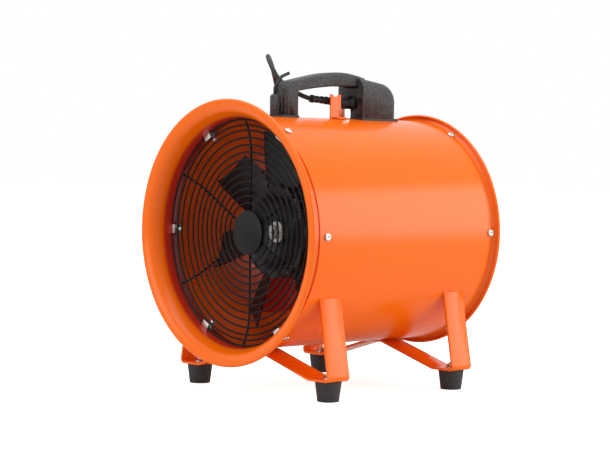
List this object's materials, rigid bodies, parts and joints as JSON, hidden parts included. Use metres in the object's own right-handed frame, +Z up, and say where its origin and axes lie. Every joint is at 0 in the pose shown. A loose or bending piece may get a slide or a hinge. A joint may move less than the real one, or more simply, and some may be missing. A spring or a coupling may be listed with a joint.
{
  "type": "portable axial duct ventilator",
  "caption": "Portable axial ventilator in a steel drum with a flared intake, wire guards, carrying handle with switch box, two bent strap leg brackets on rubber feet, and a power cord.",
  "frame": {"origin": "on the floor, below the middle of the drum's length and on its axis plane", "axes": "+Z up, the airflow axis lies along Y at 210 mm height, the intake faces -Y and the outlet faces +Y"},
  "size_m": [0.618, 0.3914, 0.4598],
  "materials": {
    "orange_paint": "glossy stove enamel on steel sheet",
    "dark_guard": "satin black coated wire",
    "black_plastic": "lightly textured moulded plastic",
    "impeller_plastic": "satin moulded polyamide",
    "handle_plastic": "fine grained dark grey moulding",
    "zinc": "bright zinc plate",
    "steel": "turned steel",
    "motor_paint": "satin black paint on cast aluminium",
    "lamination": "stacked electrical steel",
    "copper": "varnished enamelled copper wire",
    "rubber": "matte black rubber",
    "cord_rubber": "matte black rubber cord sheath",
    "pin_brass": "nickel coated brass",
    "capacitor_case": "pale grey moulded case"
  },
  "bodies": {
    "housing": {"drum_shell": "orange_paint", "bellmouth": "orange_paint", "outlet_rim": "orange_paint", "front_guard": "dark_guard", "front_guard_disc": "dark_guard", "rear_guard": "dark_guard", "rear_guard_disc": "dark_guard", "front_guard_clips": "zinc", "rear_guard_clips": "zinc", "front_drum_screws": "zinc", "rear_drum_screws": "zinc", "front_clip_nuts": "zinc", "rear_clip_nuts": "zinc", "stator_core": "lamination", "stator_windings": "copper", "motor_body": "motor_paint", "motor_front_cap": "motor_paint", "motor_rear_cap": "motor_paint", "front_bearing": "steel", "rear_bearing": "steel", "motor_feet": "motor_paint", "motor_cradle": "orange_paint", "cradle_bolts": "zinc", "cradle_nuts": "zinc", "front_leg_bracket": "orange_paint", "rear_leg_bracket": "orange_paint", "foot_bolts": "zinc", "foot_nuts": "zinc", "foot_front_right": "rubber", "foot_front_left": "rubber", "foot_rear_right": "rubber", "foot_rear_left": "rubber", "handle_grip": "handle_plastic", "switch_box": "handle_plastic", "front_gasket": "rubber", "rear_gasket": "rubber", "handle_screws": "zinc", "cord_hook": "black_plastic", "cable_gland": "black_plastic", "strain_relief": "rubber", "cable_lug": "orange_paint", "lug_block": "zinc", "rocker_bezel": "black_plastic", "run_capacitor": "capacitor_case", "capacitor_clip": "zinc", "lead_grommet": "rubber", "motor_lead": "cord_rubber", "power_cord": "cord_rubber", "cord_coil": "cord_rubber", "coil_tie": "black_plastic", "plug_relief": "rubber", "plug_body": "rubber", "plug_pins": "pin_brass"},
    "rotor": {"impeller": "impeller_plastic", "hub_washer": "zinc", "hub_nut": "zinc", "motor_shaft": "steel", "rotor_core": "lamination"},
    "rocker": {"rocker_switch": "black_plastic"}
  },
  "joints": [
    {"name": "fan_spin", "type": "hinge", "parent": "housing", "child": "rotor", "pos_m": [0, 0, 0.21], "axis": [0, 1, 0], "continuous": true},
    {"name": "switch_rock", "type": "hinge", "parent": "housing", "child": "rocker", "pos_m": [-0.0236, 0.08, 0.384], "axis": [0, 0, 1], "range_deg": [0, 20]}
  ]
}
